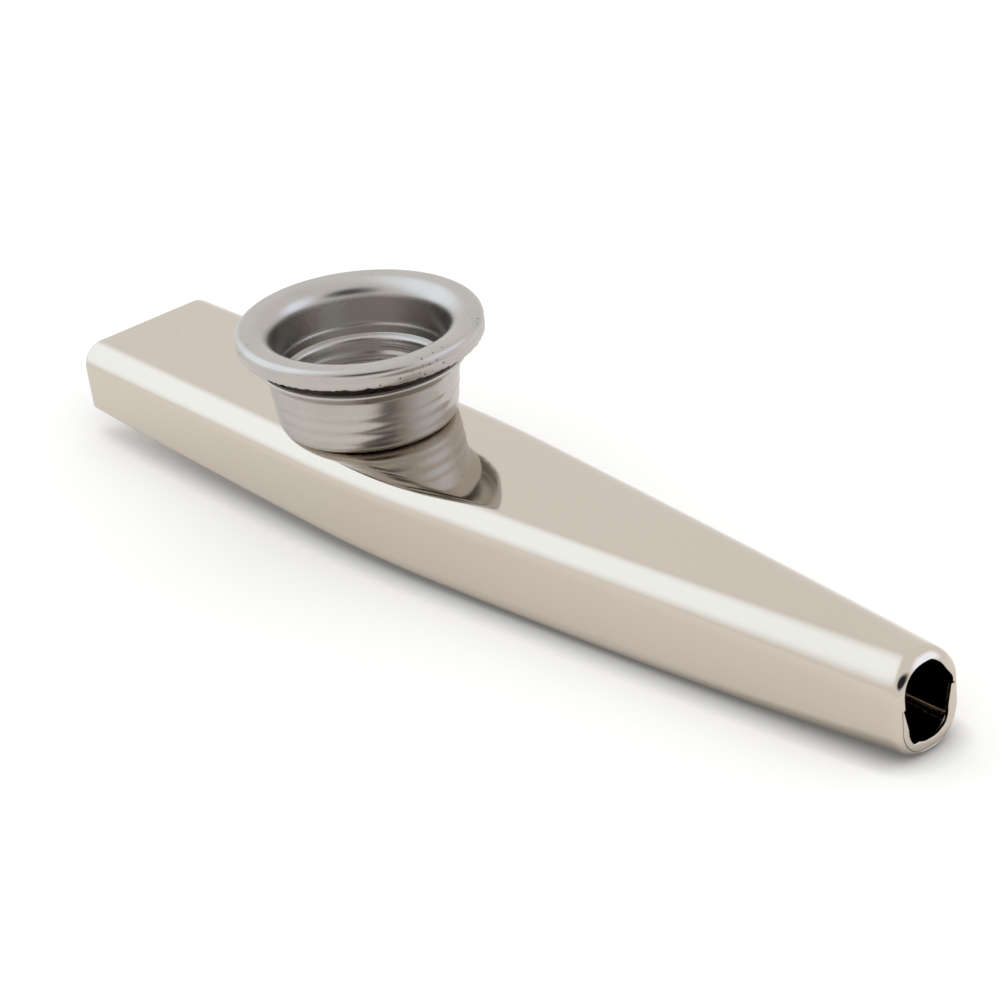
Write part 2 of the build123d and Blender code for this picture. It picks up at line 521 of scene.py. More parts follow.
@dataclass
class BodyForm:
    """Outer form of the body, in millimetres, and the same form set in from it."""

    mouth_x: float
    length: float
    top: float
    mouth_half_width: float = 9.35
    shoulder_half_width: float = 10.125
    nose_half_width: float = 4.15
    shoulder_station: float = 50.5
    shoulder_bend_radius: float = 180.0
    belly_radius: float = 2380.0
    belly_low_station: float = 115.0
    top_radii: Pair = (2.7, 3.9)
    bottom_radii: Pair = (0.7, 3.8)
    rounding_power: int = 5
    least_radius: float = 0.15
    hem_width: float = 1.8
    mouth_lean: float = 0.9
    lean_fade: float = 12.0

    def half_width(self, station: float) -> float:
        """Half width of the body.

        Args:
            station: Distance from the mouth.

        Returns:
            The half width, with the flanks bent gently at the shoulder.
        """
        rear_slope = (self.shoulder_half_width - self.mouth_half_width) / self.shoulder_station
        front_run = self.length - self.shoulder_station
        front_slope = (self.shoulder_half_width - self.nose_half_width) / front_run
        rear = self.mouth_half_width + rear_slope * station
        front = self.nose_half_width + front_slope * (self.length - station)
        bend_half = self.shoulder_bend_radius * (rear_slope + front_slope) / 2
        into_bend = station - self.shoulder_station + bend_half
        if 0 < into_bend < 2 * bend_half:
            return rear - into_bend ** 2 / (2 * self.shoulder_bend_radius)
        return min(rear, front)

    def belly(self, station: float) -> float:
        """Height of the belly at a distance from the mouth."""
        along = station - self.belly_low_station
        return self.belly_radius - math.sqrt(self.belly_radius ** 2 - along ** 2)

    def corner(self, radii: Pair, station: float, inset: float) -> float:
        """Radius of a corner of the section, which grows from its size at the mouth to that at the nose."""
        share = (max(station, 0.0) / self.length) ** self.rounding_power
        return max(mix(radii[0], radii[1], share) - inset, self.least_radius)

    def belly_point(self, station: float, inset: float, along: float) -> Pair:
        """Point on the lower half of the section.

        Args:
            station: Distance from the mouth.
            inset: How far the form is set in.
            along: Distance from the middle line, measured round the corner.

        Returns:
            Distance from the middle plane, and height.
        """
        radius = self.corner(self.bottom_radii, station, inset)
        flat = self.half_width(station) - inset - radius
        foot = self.belly(station) + inset
        if along <= flat:
            return along, foot
        turn = (along - flat) / radius
        return flat + radius * math.sin(turn), foot + radius * (1 - math.cos(turn))

    def section_point(self, column: Column, station: float, inset: float) -> Pair:
        """Point on the section.

        Args:
            column: Place round the section.
            station: Distance from the mouth.
            inset: How far the form is set in.

        Returns:
            Distance from the middle plane, and height.
        """
        width = self.half_width(station) - inset
        low = self.corner(self.bottom_radii, station, inset)
        high = self.corner(self.top_radii, station, inset)
        flat = width - low
        hem_y = self.half_width(station) - self.hem_width
        bend = self.corner(self.bottom_radii, station, 0.0)
        hem = hem_y if hem_y <= flat else flat + low * math.asin((hem_y - flat) / bend)
        whole = flat + low * QUARTER_TURN
        roof = self.top - inset
        if column.zone is Zone.BELLY:
            return self.belly_point(station, inset, hem * column.share)
        if column.zone is Zone.HEM:
            return self.belly_point(station, inset, mix(hem, whole, column.share))
        if column.zone is Zone.SIDE:
            return width, mix(self.belly(station) + inset + low, roof - high, column.share)
        if column.zone is Zone.SHOULDER:
            turn = column.share * QUARTER_TURN
            return width - high * (1 - math.cos(turn)), roof - high * (1 - math.sin(turn))
        return (width - high) * (1 - column.share), roof

    def place(self, station: float, across: float, height: float) -> Triple:
        """Point of the frame, in millimetres, that leans back at the foot of the mouth."""
        lean = self.mouth_lean * (1 - height / self.top) * max(1 - station / self.lean_fade, 0.0)
        return (self.mouth_x + station + lean, across, height)


@dataclass
class SheetLoop:
    """Closed run of stations and insets round a sheet: along its skin, round an end, back, and round."""

    outer_inset: float
    inner_inset: float
    mouth_station: float
    mouth_radius: float
    mouth_lip: float | None
    nose_station: float
    stations: list[float]
    end_steps: int = 14
    edge_steps: int = 5
    edge_round: float = 0.14
    nose_front: float = 0.0

    def end_count(self) -> int:
        """Number of points on the path round an end."""
        return 2 * self.end_steps + self.edge_steps - 1

    def end_path(self, skin: float, edge: float, station: float, radius: float, sign: int) -> list[Pair]:
        """Path along one skin round an end and in along its lip.

        Args:
            skin: Inset of the skin.
            edge: Inset where the path ends.
            station: Station of the end's outer face.
            radius: Bend radius of the outer face.
            sign: 1 at the nose and -1 at the mouth.

        Returns:
            Points after the skin's own last station, as station and inset.
        """
        centre = self.outer_inset + radius
        bend = radius - (skin - self.outer_inset)
        turn = math.acos(min(max((centre - edge) / bend, 0.0), 1.0))
        straight = max(edge - centre, 0.0)
        path = []
        for step in range(1, self.end_steps + 1):
            along = (bend * turn + straight) * step / self.end_steps
            angle = min(along / bend, turn)
            beyond = max(along - bend * turn, 0.0)
            path.append((station + sign * (bend * math.sin(angle) - radius),
                         centre - bend * math.cos(angle) + beyond))
        return path

    def end(self, station: float, radius: float, lip: float, sign: int, front: float) -> list[Pair]:
        """Path round an end, from the outer skin to the inner one.

        Args:
            station: Station of the end's outer face.
            radius: Bend radius of the outer face.
            lip: Inset of the lip's edge.
            sign: 1 at the nose and -1 at the mouth.
            front: How far the lip's face stands in front of the sheet's own bend.

        Returns:
            Points as station and inset.
        """
        edge = lip - self.edge_round
        paths = []
        for skin in (self.outer_inset, self.inner_inset):
            path = self.end_path(skin - front, edge, station, radius, sign)
            paths.append([(along, max(inset, skin)) for along, inset in path])
        out, back = paths
        rounded = []
        for step in range(1, self.edge_steps):
            turn = math.pi * step / self.edge_steps
            share = (1 - math.cos(turn)) / 2
            rounded.append((mix(out[-1][0], back[-1][0], share), edge + self.edge_round * math.sin(turn)))
        return out + rounded + back[::-1]

    def raw_mouth(self) -> list[Pair]:
        """Path round the mouth of a sheet that has no lip there.

        Returns:
            Points as station and inset.
        """
        count = self.end_count() + 1
        half = (self.inner_inset - self.outer_inset) / 2
        turns = [math.pi * step / count for step in range(1, count)]
        return [(self.mouth_station + self.mouth_radius * (1 - math.sin(turn)),
                 self.outer_inset + half * (1 - math.cos(turn))) for turn in turns]

    def points(self, nose_lip: float, nose_bend: float) -> list[Pair]:
        """Whole loop for one column.

        Args:
            nose_lip: Inset of the lip's edge at the nose.
            nose_bend: Bend radius of the body's form at the nose.

        Returns:
            Points as station and inset: outer skin to the mouth, mouth, inner skin back, nose.
        """
        outer = [(station, self.outer_inset) for station in reversed(self.stations)]
        if self.mouth_lip is None:
            mouth = self.raw_mouth()
        else:
            mouth = self.end(self.mouth_station, self.mouth_radius, self.mouth_lip, -1, 0.0)
        inner = [(station, self.inner_inset) for station in self.stations]
        nose = self.end(self.nose_station, nose_bend - self.nose_front, nose_lip, 1, self.nose_front)
        return outer + mouth + inner + nose[::-1]

    def edge_faces(self, column: int, columns: int, last: int, close_nose: bool) -> list[Face]:
        """Faces that close a raw edge of the sheet along one column.

        Args:
            column: Number of the column.
            columns: Number of columns in the grid.
            last: Number of the last station that the edge runs to.
            close_nose: Whether the edge goes on round the nose.

        Returns:
            The faces.
        """
        count = len(self.stations)
        end_count = self.end_count()
        outer = [(count - 1 - number) * columns + column for number in range(count)]
        inner = [(count + end_count + number) * columns + column for number in range(count)]
        mouth = [(count + number) * columns + column for number in range(end_count)]
        nose = [(2 * count + end_count + number) * columns + column for number in range(end_count)]
        faces = [(outer[number], outer[number + 1], inner[number + 1], inner[number])
                 for number in range(last)]
        faces.append((outer[0], *mouth, inner[0]))
        if close_nose:
            faces.append((inner[-1], *nose, outer[-1]))
        return faces


@dataclass
class KazooBody:
    """Upper shell with its hems, and the bottom plate nested in them, in millimetres."""

    form: BodyForm
    turret_x: float
    finish: BrightNickelPlate
    sheet: float = 0.5

    # Bends at both ends, which differ at the nose from its top to its bottom
    mouth_edge_radius: float = 0.7
    nose_top_bend: float = 2.0
    nose_side_bend: float = 0.8
    nose_bottom_bend: float = 1.0

    # Lips of the shell, wider at the nose's far shoulder and narrower at its near one
    mouth_lip: float = 0.9
    nose_top_lip: float = 0.95
    nose_side_lip: float = 0.92
    nose_lower_lip: float = 0.6
    nose_lip_swell: float = 0.14
    nose_lip_slip: float = 0.32
    nose_swell_power: float = 0.7

    # Height of the seam at the nose, and half the share of the side over which the lip steps there
    nose_seam: float = 6.05
    seam_step_share: float = 0.02

    # End of the hems under the sides, and the hole for the turret's neck
    hem_nose_gap: float = 5.0
    neck_hole_radius: float = 6.27

    # Bottom plate, nested in the shell, whose lip at the nose is wider on the far side too
    nest: float = 0.55
    plate_flange: float = 3.15
    plate_ramp_length: float = 12.0
    plate_seam_lip: float = 0.95
    plate_side_lip: float = 1.5
    plate_corner_lip: float = 1.35
    plate_corner_share: float = 0.25
    plate_bottom_lip: float = 1.62
    plate_slip: float = 0.2

    # Fineness of the meshes
    station_pitch: float = 1.6
    hole_sides: int = 96
    zone_steps: dict[Zone, int] = field(default_factory=lambda: {
        Zone.BELLY: 6, Zone.HEM: 14, Zone.SIDE: 8, Zone.SHOULDER: 22, Zone.CROWN: 7})

    def stations(self, start: float, end: float) -> list[float]:
        """Evenly spaced stations, with one where the hems end.

        Args:
            start: First station.
            end: Last station.

        Returns:
            The stations, from the mouth on.
        """
        hem_end = self.form.length - self.hem_nose_gap
        count = round((hem_end - start) / self.station_pitch)
        spread = [mix(start, hem_end, step / count) for step in range(count)]
        tail = round((end - hem_end) / self.station_pitch) + 1
        return spread + [mix(hem_end, end, step / tail) for step in range(tail + 1)]

    def seam_share(self) -> float:
        """Share of the way up the side at which the seam meets the nose.

        Returns:
            The share.
        """
        low, high = (self.form.section_point(Column(Zone.SIDE, share, 1), self.form.length, 0.0)[1]
                     for share in (0.0, 1.0))
        return (self.nose_seam - low) / (high - low)

    def half_columns(self, side: int) -> list[Column]:
        """Columns up one side of the shell's section.

        Args:
            side: -1 on the near side and 1 on the far side.

        Returns:
            The columns, from under the middle line to short of it above.
        """
        seam = self.seam_share()
        columns = []
        for zone, steps in self.zone_steps.items():
            shares = [step / steps for step in range(steps)]
            if zone is Zone.SIDE:
                shares += [seam - self.seam_step_share, seam + self.seam_step_share]
            columns += [Column(zone, share, side) for share in sorted(shares)]
        return columns

    def shell_columns(self) -> list[Column]:
        """Columns from under the middle line up one side of the shell's section and down the other."""
        return self.half_columns(-1) + [Column(Zone.CROWN, 1.0, 1)] + self.half_columns(1)[:0:-1]

    def nose_bend(self, column: Column) -> float:
        """Bend radius of the body's form at the nose.

        Args:
            column: Place round the section.

        Returns:
            The radius, small at the sides and large over the top.
        """
        if column.zone is Zone.SHOULDER:
            turn = column.share * QUARTER_TURN
            return mix(self.nose_side_bend, self.nose_top_bend, math.sin(turn) ** 2)
        if column.zone is Zone.HEM:
            return mix(self.nose_bottom_bend, self.nose_side_bend, column.share)
        plain = {
            Zone.BELLY: self.nose_bottom_bend,
            Zone.SIDE: self.nose_side_bend,
            Zone.CROWN: self.nose_top_bend,
        }
        return plain[column.zone]

    def shell_nose_lip(self, column: Column) -> float:
        """Inset of the shell's lip at the nose.

        Args:
            column: Place round the section.

        Returns:
            The inset, which steps at the seam and is wider at the far shoulder than at the near one.
        """
        if column.zone in (Zone.BELLY, Zone.HEM):
            return self.nose_lower_lip
        if column.zone is Zone.SIDE:
            return self.nose_lower_lip if column.share < self.seam_share() else self.nose_side_lip
        if column.zone is Zone.CROWN:
            return self.nose_top_lip
        rise = math.sin(math.pi * column.share ** self.nose_swell_power) ** 2
        swell = (self.nose_lip_swell + self.nose_lip_slip * column.side) * rise
        return mix(self.nose_side_lip, self.nose_top_lip, column.share) + swell

    def grid(
        self, columns: list[Column], loops: list[list[Pair]],
        section: Callable[[Column, float, float], Pair]
    ) -> list[Triple]:
        """Points of a sheet's grid, row by row.

        Args:
            columns: Columns of the grid.
            loops: Stations and insets of each column's points.
            section: Gives the point of a column on the sheet's section, from its station and inset.

        Returns:
            The points.
        """
        points = []
        for row in range(len(loops[0])):
            for column, loop in zip(columns, loops):
                station, inset = loop[row]
                across, height = section(column, station, inset)
                points.append(self.form.place(station, column.side * across, height))
        return points

    def build_shell(self) -> bpy.types.Object:
        """Build the upper shell, open between its hems and pierced for the turret's neck.

        Returns:
            The mesh object.
        """
        columns = self.shell_columns()
        loop = SheetLoop(
            outer_inset=0.0, inner_inset=self.sheet, mouth_station=0.0,
            mouth_radius=self.mouth_edge_radius, mouth_lip=self.mouth_lip, nose_station=self.form.length,
            stations=self.stations(self.mouth_edge_radius, self.form.length - self.nose_top_bend))
        loops = [loop.points(self.shell_nose_lip(column), self.nose_bend(column)) for column in columns]
        points = self.grid(columns, loops, self.form.section_point)
        count = len(columns)
        slot = self.zone_steps[Zone.BELLY]
        open_columns = set(range(slot)) | set(range(count - slot, count))
        hem_end = self.form.length - self.hem_nose_gap
        last = min(range(len(loop.stations)), key=lambda number: abs(loop.stations[number] - hem_end))
        first_row = len(loop.stations) - 1 - last
        last_row = len(loops[0]) - first_row - loop.end_count() - 1
        faces = []
        for number, face in enumerate(grid_faces(len(loops[0]), count, True)):
            row, column = divmod(number, count)
            if not (column in open_columns and first_row <= row < last_row):
                faces.append(face)
        for column in (slot, count - slot):
            faces += loop.edge_faces(column, count, last, False)
        for column in open_columns:
            beside = (column + 1) % count
            faces.append((first_row * count + column, first_row * count + beside,
                          last_row * count + beside, last_row * count + column))
        shell = make_object("upper_shell_sheet", points, faces)
        self.pierce(shell)
        return shell

    def pierce(self, shell: bpy.types.Object) -> None:
        """Cut the hole for the turret's neck through the top sheet, with no corner on the middle line.

        Args:
            shell: The upper shell.
        """
        sides = self.hole_sides
        radius = self.neck_hole_radius
        half_side = math.pi / sides
        ring = [half_side * (2 * step + 1) for step in range(sides)]
        levels = (self.form.top - 2 * self.sheet, self.form.top + self.sheet)
        points = [(self.turret_x + radius * math.cos(turn), radius * math.sin(turn), level)
                  for level in levels for turn in ring]
        faces = []
        for side in range(sides):
            beside = (side + 1) % sides
            faces.append((side, beside, sides + beside, sides + side))
        faces += [tuple(range(sides)), tuple(range(sides, 2 * sides))]
        cutter = make_object("neck_hole_cutter", points, faces)
        cut = shell.modifiers.new("neck_hole", "BOOLEAN")
        cut.operation = "DIFFERENCE"
        cut.solver = "EXACT"
        cut.object = cutter
        bpy.context.view_layer.update()
        evaluated = shell.evaluated_get(bpy.context.evaluated_depsgraph_get())
        pierced = bpy.data.meshes.new_from_object(evaluated)
        shell.modifiers.clear()
        shell.data = pierced
        bpy.data.objects.remove(cutter)

    def plate_point(self, column: Column, station: float, inset: float) -> Pair:
        """Point on the bottom plate's section, whose sides stop at the flange's edge.

        Args:
            column: Place round the section.
            station: Distance from the mouth.
            inset: How far the skin is set in.

        Returns:
            Distance from the middle plane, and height.
        """
        if column.zone is not Zone.SIDE:
            return self.form.section_point(column, station, inset)
        foot = self.form.section_point(Column(Zone.SIDE, 0.0, 1), station, inset)
        flange = self.form.belly(station) + self.plate_flange
        ramp_start = self.form.length - self.plate_ramp_length
        ramp = (station - ramp_start) / (self.plate_ramp_length / 2)
        seam = self.nose_seam - (self.nest - self.sheet)
        edge = mix(flange, seam, min(max(ramp, 0.0), 1.0))
        return foot[0], mix(foot[1], edge, column.share)

    def plate_nose_lip(self, column: Column) -> float:
        """Inset of the plate's lip at the nose.

        Args:
            column: Place round the section.

        Returns:
            The inset, for straight sides and a corner at the bottom, wider on the far side.
        """
        slip = self.plate_slip * column.side
        if column.zone is Zone.SIDE:
            return mix(self.plate_side_lip, self.plate_seam_lip, column.share) + slip
        if column.zone is Zone.BELLY:
            return self.plate_bottom_lip
        past_corner = (column.share - self.plate_corner_share) / (1 - self.plate_corner_share)
        if past_corner > 0:
            return mix(self.plate_corner_lip, self.plate_side_lip, past_corner) + slip
        to_corner = column.share / self.plate_corner_share
        return mix(self.plate_bottom_lip, self.plate_corner_lip + slip, to_corner)

    def build_plate(self) -> bpy.types.Object:
        """Build the bottom plate, a channel that rises to the seam at the nose.

        Returns:
            The mesh object.
        """
        half = [(zone, step / steps) for zone, steps in self.zone_steps.items()
                if zone in (Zone.BELLY, Zone.HEM, Zone.SIDE) for step in range(steps)]
        half.append((Zone.SIDE, 1.0))
        columns = [Column(zone, share, -1) for zone, share in half[::-1]]
        columns += [Column(zone, share, 1) for zone, share in half[1:]]
        loop = SheetLoop(
            outer_inset=self.nest, inner_inset=self.nest + self.sheet, mouth_station=self.nest,
            mouth_radius=self.sheet / 2, mouth_lip=None, nose_station=self.form.length - self.nest,
            stations=self.stations(self.nest + self.sheet / 2, self.form.length - self.nose_top_bend),
            nose_front=self.nest)
        loops = [loop.points(self.plate_nose_lip(column), self.nose_bend(column)) for column in columns]
        points = self.grid(columns, loops, self.plate_point)
        faces = grid_faces(len(loops[0]), len(columns), False)
        for column in (0, len(columns) - 1):
            faces += loop.edge_faces(column, len(columns), len(loop.stations) - 1, True)
        return make_object("bottom_plate_sheet", points, faces)

    def build(self) -> None:
        """Build both sheets and dress them."""
        material = self.finish.material()
        finish_piece(self.build_shell(), material, Body.KAZOO, "upper_shell")
        finish_piece(self.build_plate(), material, Body.KAZOO, "bottom_plate")


@dataclass
class BentStrip:
    """Strip of sheet bent along a middle line, as radii and heights about the turret's axis."""

    corners: list[Pair]
    bends: list[float]
    thickness: float
    step: float = 0.12
    turn_step: float = math.radians(9.0)
    least_turn_steps: int = 3
    edge_steps: int = 6

    def middle_line(self) -> list[tuple[Vector, Vector]]:
        """Points along the middle line.

        Returns:
            Each point with the direction square to the line, on its left.
        """
        corners = [Vector(corner) for corner in self.corners]
        line = []
        start = corners[0]
        for number, corner in enumerate(corners[1:], 1):
            along = (corner - start).normalized()
            left = Vector((-along.y, along.x))
            end = corner
            turn = 0.0
            if number < len(corners) - 1:
                onward = (corners[number + 1] - corner).normalized()
                turn = math.atan2(along.cross(onward), along.dot(onward))
                end = corner - along * self.bends[number - 1] * math.tan(abs(turn) / 2)
            pieces = max(round((end - start).length / self.step), 1)
            line += [(start.lerp(end, piece / pieces), left) for piece in range(pieces)]
            start = end
            if turn:
                radius = self.bends[number - 1]
                centre = end + left * math.copysign(radius, turn)
                pieces = max(round(abs(turn) / self.turn_step), self.least_turn_steps)
                for piece in range(pieces):
                    turned = left.copy()
                    turned.rotate(Matrix.Rotation(turn * piece / pieces, 2))
                    line.append((centre - turned * math.copysign(radius, turn), turned))
                turned = left.copy()
                turned.rotate(Matrix.Rotation(turn, 2))
                start = centre - turned * math.copysign(radius, turn)
        line.append((corners[-1], line[-1][1]))
        return line

    def outline(self) -> list[Pair]:
        """Closed outline of the strip, with rounded raw edges.

        Returns:
            Radii and heights.
        """
        half = self.thickness / 2
        line = self.middle_line()
        left = [point + normal * half for point, normal in line]
        right = [point - normal * half for point, normal in line]
        turns = [math.pi * step / self.edge_steps for step in range(1, self.edge_steps)]
        caps = []
        for (point, normal), sign in ((line[-1], 1), (line[0], -1)):
            aside = normal * half * sign
            ahead = Vector((normal.y, -normal.x)) * half * sign
            caps.append([point + aside * math.cos(turn) + ahead * math.sin(turn) for turn in turns])
        return [(point.x, point.y) for point in left + caps[0] + right[::-1] + caps[1]]


@dataclass
class Thread:
    """Round thread rolled into a thin wall, right-handed, in millimetres."""

    pitch: float
    depth: float
    low: float
    high: float
    run_out: float = 0.7
    unevenness: float = 0.8
    patch_height: float = 3.0
    patch_rate: float = 1.5

    def swell(self, turn: float, height: float) -> float:
        """How far the wall is pushed out at a point.

        Args:
            turn: Angle about the axis.
            height: Height above the body's top.

        Returns:
            The distance outwards.
        """
        begun = ease(self.low, self.low + self.run_out, height)
        ended = ease(self.high - self.run_out, self.high, height)
        fade = begun * (1 - ended)
        spot = Vector((math.cos(turn), math.sin(turn), height / self.patch_height))
        depth = self.depth * (1 + self.unevenness * noise.noise(spot * self.patch_rate))
        return depth * fade * math.sin(2 * math.pi * height / self.pitch - turn)


@dataclass
class Turret:
    """Collar clinched to the body, and the screw ring in it, in millimetres about the turret's axis."""

    axis_x: float
    base: float
    rim_radius: float
    ring_top: float
    bore_radius: float
    foot_height: float
    finish: SpunSatinNickel
    sheet: float = 0.5
    segments: int = 256

    # Collar, whose wall widens from its foot to its flared lip
    neck_radius: float = 6.22
    clinch_width: float = 0.8
    collar_radius: float = 9.6
    collar_taper: float = 0.8
    collar_wall_height: float = 6.5
    collar_shoulder_bend: float = 0.9
    collar_flare_bend: float = 0.8
    collar_flare_reach: float = 0.75
    collar_lip_height: float = 7.5
    tight_bend: float = 0.3

    # Screw ring, from its curled rim down its throat to the foot of its skirt
    rim_drop: float = 1.75
    rim_bend: float = 0.75
    throat_bend: float = 1.9
    throat_taper: float = 0.7
    throat_step: float = 0.7
    throat_step_rise: float = 0.35
    skirt_height: float = 3.15
    skirt_bend: float = 0.3
    seat_edge_width: float = 1.05
    seat_edge_bend: float = 0.4

    # Rolled threads and grooves
    thread_pitch: float = 1.5
    collar_thread_depth: float = 0.035
    collar_thread_zone: Pair = (0.9, 5.0)
    ring_thread_depth: float = 0.13
    groove_depth: float = 0.09
    groove_width: float = 0.16
    bead_groove_drop: float = 1.05
    throat_groove_height: float = 6.7

    # Raw edge of the curl, which is frayed, and lower on one side
    jag_height: float = 0.16
    jag_width: float = 0.55
    jag_zone: float = 0.5
    fine_jag_share: float = 0.5
    fine_jag_rate: float = 2.3
    curl_swing: float = 0.2
    curl_low_turn: float = math.radians(5.0)

    def groove(self, offset: float) -> float:
        """Depth of a rolled groove at a distance from its middle."""
        return self.groove_depth * math.exp(-(offset / self.groove_width) ** 2)

    def build_collar(self) -> bpy.types.Object:
        """Build the collar with the thread rolled into its wall.

        Returns:
            The mesh object.
        """
        half = self.sheet / 2
        neck = self.neck_radius - half
        wall = self.collar_radius - half
        clinch = -self.sheet - half
        strip = BentStrip(
            [(self.neck_radius + self.clinch_width, clinch), (neck, clinch), (neck, half), (wall, half),
             (wall + self.collar_taper, self.collar_wall_height),
             (self.collar_radius + self.collar_taper + self.collar_flare_reach, self.collar_lip_height)],
            [self.tight_bend, self.tight_bend, self.collar_shoulder_bend, self.collar_flare_bend],
            self.sheet)
        thread = Thread(self.thread_pitch, self.collar_thread_depth, *self.collar_thread_zone)

        def shift(turn: float, radius: float, height: float) -> Pair:
            """Push the wall out along the thread."""
            return (thread.swell(turn, height) if radius > wall - self.sheet else 0.0, 0.0)

        axis = (self.axis_x, self.base)
        return revolve("collar_cup", strip.outline(), axis, self.segments, shift=shift)

    def build_ring(self) -> bpy.types.Object:
        """Build the screw ring with a threaded skirt and the raw, uneven edge of its curl.

        Returns:
            The mesh object.
        """
        half = self.sheet / 2
        skirt = self.bore_radius + half
        throat = skirt + self.throat_step
        rim = self.rim_radius - half
        flange = self.ring_top - half
        raw_edge = self.ring_top - self.rim_drop
        skirt_top = self.foot_height + self.skirt_height
        foot = self.foot_height + half
        strip = BentStrip(
            [(rim, raw_edge), (rim, flange), (throat + self.throat_taper, flange),
             (throat, skirt_top + self.throat_step_rise), (skirt, skirt_top), (skirt, foot),
             (skirt - half - self.seat_edge_width, foot)],
            [self.rim_bend - half, self.throat_bend, self.skirt_bend, self.skirt_bend, self.seat_edge_bend],
            self.sheet)
        thread = Thread(self.thread_pitch, self.ring_thread_depth, self.foot_height, skirt_top)

        def shift(turn: float, radius: float, height: float) -> Pair:
            """Push the skirt out along the thread, roll the grooves and fray the raw edge.

            Args:
                turn: Angle about the axis.
                radius: Distance from the axis.
                height: Height above the body's top.

            Returns:
                The distances outwards and upwards.
            """
            if height < skirt_top:
                return thread.swell(turn, height), 0.0
            if radius < rim - self.sheet:
                return self.groove(height - self.throat_groove_height), 0.0
            near_edge = 1 - ease(raw_edge - half, raw_edge - half + self.jag_zone, height)
            dip = -self.groove(height - self.ring_top + self.bead_groove_drop)
            spot = Vector((math.cos(turn), math.sin(turn), 0.0)) * self.rim_radius / self.jag_width
            fine = self.fine_jag_share * noise.noise(spot * self.fine_jag_rate)
            jag = self.jag_height * (noise.noise(spot) + fine)
            return dip, near_edge * (jag - self.curl_swing * math.cos(turn - self.curl_low_turn))

        axis = (self.axis_x, self.base)
        return revolve("screw_ring_spun", strip.outline(), axis, self.segments, shift=shift)

    def build(self) -> None:
        """Build both turned sheets and dress them."""
        material = self.finish.material()
        finish_piece(self.build_collar(), material, Body.KAZOO, "turret_collar")
        finish_piece(self.build_ring(), material, Body.RING, "screw_ring")


@dataclass
class Membrane:
    """Film stretched on a flat ring, in millimetres about the turret's axis."""

    axis_x: float
    ring_foot: float
    film_foot: float
    film_top: float
    radius: float
    ring_width: float = 1.3
    edge_round: float = 0.12
    edge_steps: int = 4
    segments: int = 192
    film_rings: int = 24
    film_sag: float = 0.05

    def build_carrier(self) -> bpy.types.Object:
        """Build the flat ring with rounded edges.

        Returns:
            The mesh object.
        """
        inner, outer = self.radius - self.ring_width, self.radius
        corners = [(outer, self.ring_foot, 1, -1), (outer, self.film_foot, 1, 1),
                   (inner, self.film_foot, -1, 1), (inner, self.ring_foot, -1, -1)]
        outline = []
        for number, (radius, height, out, up) in enumerate(corners):
            for step in range(self.edge_steps + 1):
                turn = QUARTER_TURN * (number - 1 + step / self.edge_steps)
                outline.append((radius + self.edge_round * (math.cos(turn) - out),
                                height + self.edge_round * (math.sin(turn) - up)))
        return revolve("membrane_carrier_ring", outline, (self.axis_x, 0.0), self.segments)

    def build_film(self) -> bpy.types.Object:
        """Build the film as a thin closed disc that sags a little.

        Returns:
            The mesh object.
        """
        radii = [self.radius * step / self.film_rings for step in range(self.film_rings + 1)]
        free = self.radius - self.ring_width
        sags = [self.film_sag * math.cos(QUARTER_TURN * min(radius / free, 1.0)) for radius in radii]
        over = [(radius, self.film_top - sag) for radius, sag in zip(radii, sags)]
        under = [(radius, self.film_foot - sag) for radius, sag in zip(radii, sags)]
        axis = (self.axis_x, 0.0)
        return revolve("membrane_tissue", over + under[::-1], axis, self.segments, closed=False)

    def build(self) -> None:
        """Build the ring and the film and dress them."""
        carrier = self.build_carrier()
        finish_piece(carrier, MouldedPolystyrene().material(), Body.MEMBRANE, "membrane_ring")
        film = self.build_film()
        finish_piece(film, WaxedPaperFilm().material(), Body.MEMBRANE, "membrane_film")


@dataclass
class PortraitCamera:
    """Camera at the photograph's angle, fitted to the body's outline and the rim's ellipse.

    The slides say how far the target stands from the middle of the picture, measured at the target.
    """

    target: Vector
    azimuth: float = math.radians(50.5)
    elevation: float = math.radians(27.524)
    roll: float = math.radians(-5.635)
    distance_mm: float = 349.6
    slide_right_mm: float = -1.02
    slide_down_mm: float = -3.43
    focal_pixels: float = 3382.4
    frame_pixels: float = 1001.0
    sensor_mm: float = 36.0
    clip_start_m: float = 0.01

    def build(self) -> None:
        """Place the camera and make it the scene's own."""
        back = Vector((math.sin(self.azimuth) * math.cos(self.elevation),
                       -math.cos(self.azimuth) * math.cos(self.elevation), math.sin(self.elevation)))
        level = (-back).cross(Vector((0, 0, 1))).normalized()
        upright = level.cross(-back)
        right = level * math.cos(self.roll) + upright * math.sin(self.roll)
        up = upright * math.cos(self.roll) - level * math.sin(self.roll)
        slide = up * self.slide_down_mm - right * self.slide_right_mm
        spot = self.target + (back * self.distance_mm + slide) * MM
        lens = bpy.data.cameras.new("portrait_camera")
        lens.sensor_width = self.sensor_mm
        lens.lens = self.focal_pixels / self.frame_pixels * self.sensor_mm
        lens.clip_start = self.clip_start_m
        camera = bpy.data.objects.new("portrait_camera", lens)
        camera.matrix_world = Matrix.Translation(spot) @ Matrix((right, up, back)).transposed().to_4x4()
        bpy.context.scene.collection.objects.link(camera)
        bpy.context.scene.camera = camera
        log.info("camera at %s", [round(value, 4) for value in spot])


